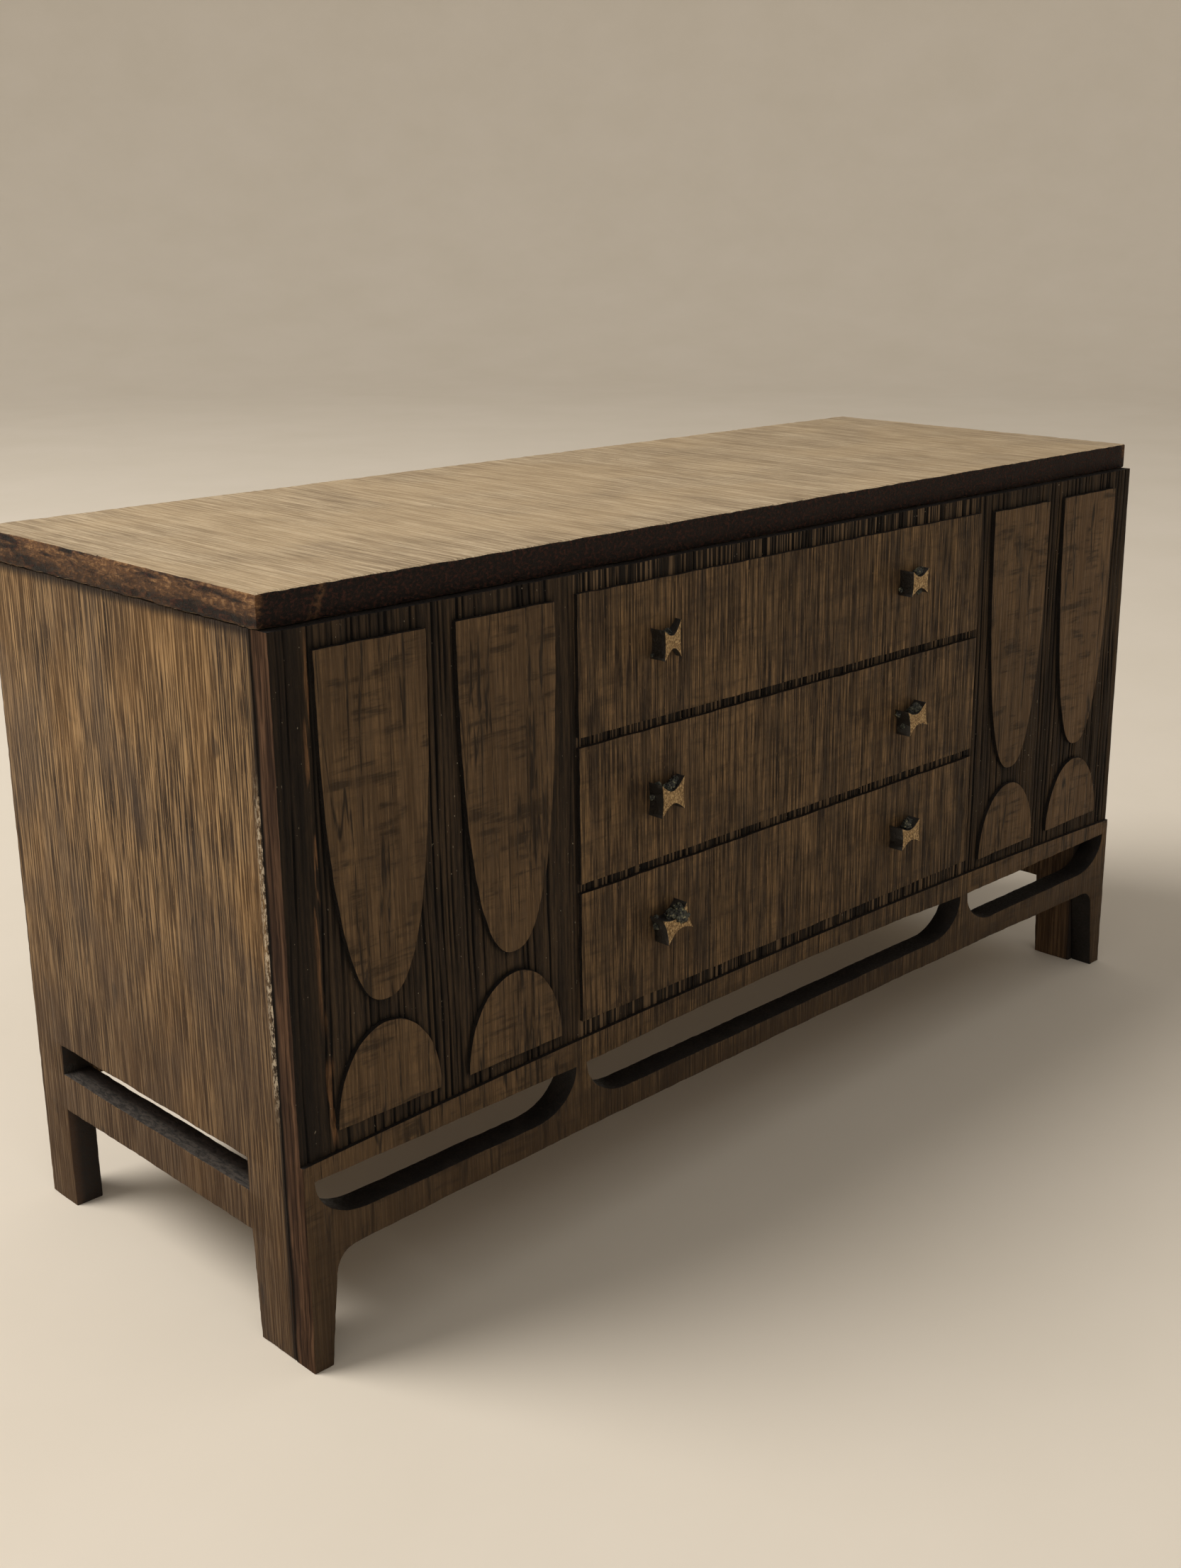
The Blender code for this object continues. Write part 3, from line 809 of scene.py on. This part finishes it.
def top_edge():
    """Cut edge of the top: soot, with orange-brown wood showing on the ends where the charred layer flaked
    off.
    """
    f = Finish("top_edge", 0.15)
    fine = f.noise((2.4, 1.3, 3.0), 4.0, 0.65, 0.3, 4.0, 0.22, 0.78)
    flake = f.noise((0.5, 0.14, 1.0), 3.0, 0.62, 0.4, 12.0, 0.36, 0.62)
    on_ends = f.span(f.math('ABSOLUTE', f.x), 69.2, 69.9)
    soot = f.ramp(fine, [(0.10, srgb(14, 11, 11)), (0.50, srgb(27, 21, 19)), (0.85, srgb(66, 41, 34))])
    bare = f.ramp(fine, [(0.10, srgb(76, 51, 34)), (0.55, srgb(108, 77, 51)), (0.95, srgb(156, 122, 86))])
    upper = f.span(f.z, top_low.z / MM + 0.5, top_high.z / MM - 0.5, 0.35, 1.0)
    colour = f.mix(f.times(flake, on_ends, upper), soot, bare)
    slant = f.math('SUBTRACT', f.x, f.times(f.z, 0.45))
    crumbled = f.noise((1.5, 1.5, 1.5), 3.0, 0.6, 0.0, 3.0, 0.35, 0.6)
    scratch = f.times(f.window(slant, -97.6, -96.7, 0.35), crumbled, 0.55)
    colour = f.mix(scratch, colour, srgb(120, 88, 60))
    return f.done(colour, f.span(fine, 0.0, 1.0, 0.45, 0.8), f.bump(fine, 0.10, 0.9))


def plain_walnut(name, axis, shift):
    """Face of the back and bottom sheets."""
    tones = (srgb(52, 39, 29), srgb(98, 76, 54), srgb(142, 114, 80))
    weights = (0.40, 0.30, 0.16, 0.16, 0.70)
    f, colour, rough, normal = wood(name, tones, axis, shift, weights, 0.25, 0.25)
    return f.done(colour, rough, normal)


def pull_wood():
    """Face of the pulls: pale and granular."""
    f = Finish("pull_wood", 0.3)
    grain = f.noise((5.5, 5.5, 4.0), 4.0, 0.7, 0.2, 71.0, 0.25, 0.75)
    colour = f.ramp(grain, [(0.10, srgb(82, 62, 38)), (0.5, srgb(150, 120, 78)), (0.90, srgb(214, 186, 138))])
    return f.done(colour, 0.6, f.bump(grain, 0.06, 0.9))


def resin():
    """Burnt glue: dark bottle green, glossy, with pale ash caught in it."""
    f = Finish("burnt_resin", 0.7)
    lump = f.noise((2.5, 2.5, 2.5), 4.0, 0.7, 0.4, 7.0, 0.3, 0.7)
    colour = f.ramp(lump, [(0.15, srgb(12, 13, 11)), (0.55, srgb(40, 44, 38)), (0.85, srgb(96, 98, 82)),
                           (1.0, srgb(168, 160, 120))])
    return f.done(colour, f.span(lump, 0.2, 0.8, 0.18, 0.55), f.bump(lump, 0.12, 0.9))


# ---------------------------------------------------------------- stage

def stage():
    """A pale round dish: flat in the middle, turning up smoothly far away."""
    inner_radius = 0.3
    floor_radius = 0.9
    bend = 0.5
    bend_steps = 16
    wall_top = 1.3
    turns = 72
    profile = [(inner_radius, 0.0), (floor_radius, 0.0)]
    for step in range(1, bend_steps + 1):
        angle = math.radians(90 * step / bend_steps)
        profile.append((floor_radius + bend * math.sin(angle), bend * (1 - math.cos(angle))))
    profile.append((floor_radius + bend, wall_top))
    angles = [2 * math.pi * k / turns for k in range(turns)]
    directions = [(math.cos(angle), math.sin(angle)) for angle in angles]
    bm = bmesh.new()
    centre = bm.verts.new((0.0, 0.0, 0.0))
    rings = []
    for radius, height in profile:
        rings.append([bm.verts.new((radius * x, radius * y, height)) for x, y in directions])
    for k in range(turns):
        bm.faces.new((centre, rings[0][k - 1], rings[0][k]))
    for inner, outer in zip(rings, rings[1:]):
        for k in range(turns):
            bm.faces.new((inner[k - 1], outer[k - 1], outer[k], inner[k]))
    item = to_object("pale_floor", bm, 60.0)
    f = Finish("pale_floor", 0.1)
    tone = f.noise((0.02, 0.02, 0.02), 4.0, 0.6)
    colour = f.ramp(tone, [(0.3, srgb(217, 209, 196)), (0.7, srgb(221, 213, 201))])
    item.data.materials.append(f.done(colour, 0.9))


def area_light(name, place, target, size, power, colour):
    data = bpy.data.lights.new(name, 'AREA')
    data.shape = 'DISK'
    data.size = size
    data.energy = power
    data.color = colour
    item = bpy.data.objects.new(name, data)
    item.location = place
    item.rotation_mode = 'QUATERNION'
    item.rotation_quaternion = (Vector(target) - Vector(place)).to_track_quat('-Z', 'Y')
    bpy.context.scene.collection.objects.link(item)


def lights():
    middle = (0.0, 0.0, 0.03)
    area_light("key", (-0.50, 0.37, 0.80), middle, 0.58, 8.7, (1.0, 0.95, 0.88))
    area_light("fill", (-0.40, -0.90, 0.70), middle, 0.80, 1.4, (1.0, 0.96, 0.92))
    world = bpy.data.worlds.new("studio")
    bpy.context.scene.world = world
    world.use_nodes = True
    background = world.node_tree.nodes["Background"]
    background.inputs["Color"].default_value = (0.95, 0.93, 0.89, 1.0)
    background.inputs["Strength"].default_value = 0.42
    bpy.context.scene.view_settings.view_transform = 'Standard'


def camera():
    data = bpy.data.cameras.new("camera")
    data.lens = LENS_MM
    data.sensor_width = SENSOR_MM
    data.shift_x, data.shift_y = FRAME_SHIFT
    data.clip_start = 0.01
    item = bpy.data.objects.new("camera", data)
    item.location = CAMERA_PLACE
    item.rotation_mode = 'QUATERNION'
    item.rotation_quaternion = Vector(CAMERA_FORWARD).to_track_quat('-Z', 'Y')
    bpy.context.scene.collection.objects.link(item)
    bpy.context.scene.camera = item


# ---------------------------------------------------------------- pieces

def paint_by_face(item, materials, choose):
    """Give each face the material number that choose(centre, normal) returns."""
    for material in materials:
        item.data.materials.append(material)
    numbers = [choose(polygon.center, polygon.normal) for polygon in item.data.polygons]
    item.data.polygons.foreach_set("material_index", numbers)


def flat_or_edge(axis, limit=0.5):
    """For paint_by_face: 0 on faces square to the axis, 1 on cut edges."""
    def choose(centre, normal):
        return 0 if abs(normal[axis]) > limit else 1
    return choose


def declare(item, node):
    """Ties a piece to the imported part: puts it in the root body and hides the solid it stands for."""
    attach(item, "root")
    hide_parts(node)


def front_place(a, b, depth):
    return (a, FRONT_Y + depth, max(b, 0.0))


def mark_burn_and_wall_shade(mesh):
    """Stores on every vertex how close it is to a raised outline: 1 at the wall, 0 from BURN_AND_SHADE_REACH away."""
    outline_points = []
    for ring in raised_outlines():
        outline_points += resample(without_repeats(ring), 0.25 * MM)
    edge = np.array(outline_points)
    spots = np.zeros(len(mesh.vertices) * 3)
    mesh.vertices.foreach_get("co", spots)
    spots = spots.reshape(-1, 3)[:, (0, 2)]
    nearest = np.full(len(spots), 1.0)
    for start in range(0, len(edge), 100):
        gap = spots[:, None, :] - edge[None, start:start + 100, :]
        nearest = np.minimum(nearest, np.sqrt((gap ** 2).sum(axis=2)).min(axis=1))
    # Partly real overburn and partly painted shade: the ground's colour is darkened by this value next to the
    # raised walls.
    burn_and_wall_shade = mesh.attributes.new("burn_and_wall_shade", 'FLOAT', 'POINT')
    burn_and_wall_shade.data.foreach_set("value", np.clip(1.0 - nearest / BURN_AND_SHADE_REACH, 0.0, 1.0))


def make_front():
    item = to_object("front_sheet", sheet_mesh(front_outline(), front_slots(), SHEET, front_place, SEED))
    subtract(item, engraving_cutter())
    mesh = item.data
    bpy.data.objects.remove(item)
    item = mesh_to_object("front_sheet", mesh, 32.0)
    item.data.materials.clear()
    mark_burn_and_wall_shade(item.data)

    wood_face, ground, soot, scorched = range(4)

    def choose(centre, normal):
        if abs(normal.y) > 0.5:
            raised = centre.y < FRONT_Y + 0.15 * MM
            return wood_face if raised or normal.y > 0 else ground
        outer = abs(normal.x) > 0.8 and abs(centre.x) > HALF - 0.5 * MM
        return scorched if outer else soot

    paint_by_face(item, [front_walnut(), charred_ground(), char(), scorched_edge()], choose)
    declare(item, "front_panel")


def make_end(name, node, outer_x, inward, shift):
    """An end sheet; inward is 1 or -1, the way along X from its outer face into the carcass."""
    def place(a, b, depth):
        return (outer_x + inward * depth, a, max(b, 0.0))

    def chipped(a, b):
        return a < FRONT_Y + SHEET + 0.5 * MM and CHIPPED_Z[0] < b < CHIPPED_Z[1]

    front_leg = FRONT_Y + END_FRONT_LEG_END
    rear_leg = FRONT_Y + END_REAR_LEG_START
    slot = rectangle(front_leg, rear_leg, END_SLOT_BOTTOM_Z, END_SLOT_TOP_Z)
    bm = sheet_mesh(end_outline(), [slot], SHEET, place, SEED + int(shift), chipped=chipped)
    item = to_object(name, bm)
    materials = [end_walnut(name + "_walnut", shift), end_cut(name + "_edge", shift, outer_x)]
    paint_by_face(item, materials, flat_or_edge(0))
    declare(item, node)


def make_top():
    def place(a, b, depth):
        return (a, b, top_high.z - depth)
    outline = rectangle(top_low.x, top_high.x, top_low.y, top_high.y)
    bm = sheet_mesh(outline, [], SHEET, place, SEED + 20, chamfer=0.16 * MM, wear=1.2, wobble=0.05 * MM)
    item = to_object("top_sheet", bm)
    paint_by_face(item, [top_walnut(), top_edge()], flat_or_edge(2))
    declare(item, "top_board")


def make_back():
    def place(a, b, depth):
        return (a, REAR_Y - depth, b)
    inside = HALF - SHEET - SEAM
    outline = rectangle(-inside, inside, back_low.z, BODY_TOP)
    item = to_object("back_sheet", sheet_mesh(outline, [], SHEET, place, SEED + 30))
    materials = [plain_walnut("back_walnut", 2, 90.0), char("back_edge", (44, 34, 28), 3.0)]
    paint_by_face(item, materials, flat_or_edge(1))
    declare(item, "back_panel")


def make_bottom():
    def place(a, b, depth):
        return (a, b, bottom_high.z - depth)
    inside = HALF - SHEET - SEAM
    outline = rectangle(-inside, inside, FRONT_Y + SHEET + SEAM, REAR_Y - SHEET - SEAM)
    item = to_object("bottom_sheet", sheet_mesh(outline, [], SHEET, place, SEED + 40))
    materials = [plain_walnut("bottom_walnut", 0, 120.0), char("bottom_edge", (44, 34, 28), 7.0)]
    paint_by_face(item, materials, flat_or_edge(2))
    declare(item, "bottom_board")


def make_pull(node, number, materials):
    """A bow-tie slip, turned and tilted as it was glued on, and the lumps of burnt glue round it."""
    turn_degrees, width, left_height, right_height, left_out, right_out = PULLS[node]
    low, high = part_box(node)
    centre = (low + high) / 2
    cosine = math.cos(math.radians(turn_degrees))
    sine = math.sin(math.radians(turn_degrees))

    def stand_off(a):
        share = min(1.0, max(0.0, a / (width * MM) + 0.5))
        return (left_out + (right_out - left_out) * share + PULL_GLUE) * MM

    def place(a, b, depth):
        out = stand_off(a) * (1.0 - depth / SHEET)
        return (centre.x + a * cosine - b * sine, FRONT_Y - out, centre.z + a * sine + b * cosine)

    outline = pull_outline(width * MM, left_height * MM, right_height * MM)
    bm = sheet_mesh(outline, [], SHEET, place, SEED + 50 + number, chamfer=0.035 * MM, wear=0.8,
                    wobble=0.02 * MM, step=0.16 * MM)
    item = to_object(node.replace("pull", "bow_tie"), bm)
    face, edge, burnt_glue = materials
    paint_by_face(item, [face, edge], flat_or_edge(1, 0.6))
    declare(item, node)
    lumps = glue_mesh(GLUE[node], place_lump(centre, cosine, sine), number)
    glue = to_object(node.replace("pull", "glue"), lumps)
    glue.data.materials.append(burnt_glue)
    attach(glue, "root")


def place_lump(centre, cosine, sine):
    def place(a, b, out):
        return Vector((centre.x + (a * cosine - b * sine) * MM, FRONT_Y - out * MM,
                       centre.z + (a * sine + b * cosine) * MM))
    return place


def glue_mesh(lumps, place, number):
    """Lumps of set glue, each pushed in and out by seeded noise."""
    bm = bmesh.new()
    for a, b, out, radius in lumps:
        ball = bmesh.ops.create_icosphere(bm, subdivisions=4, radius=1.0)
        middle = place(a, b, out)
        for vert in ball["verts"]:
            direction = vert.co.normalized()
            spot = direction * 1.4 + Vector((a * 3 + number, b * 3, out * 3))
            swell = 1.0 + 0.35 * noise.noise(spot)
            swell += 0.20 * noise.noise(spot * 2.7) + 0.08 * noise.noise(spot * 7.0)
            point = middle + direction * (radius * MM * swell)
            point.y = min(point.y, FRONT_Y + 0.1 * MM)
            vert.co = point
    bmesh.ops.recalc_face_normals(bm, faces=bm.faces)
    return bm


def build():
    stage()
    lights()
    camera()
    make_front()
    make_end("left_end_sheet", "left_end_panel", left_low.x, 1, 140.0)
    make_end("right_end_sheet", "right_end_panel", right_high.x, -1, 170.0)
    make_top()
    make_back()
    make_bottom()
    materials = [pull_wood(), char("pull_edge", (26, 24, 21), 9.0, 0.6), resin()]
    for number, node in enumerate(PULLS):
        make_pull(node, number, materials)


build()
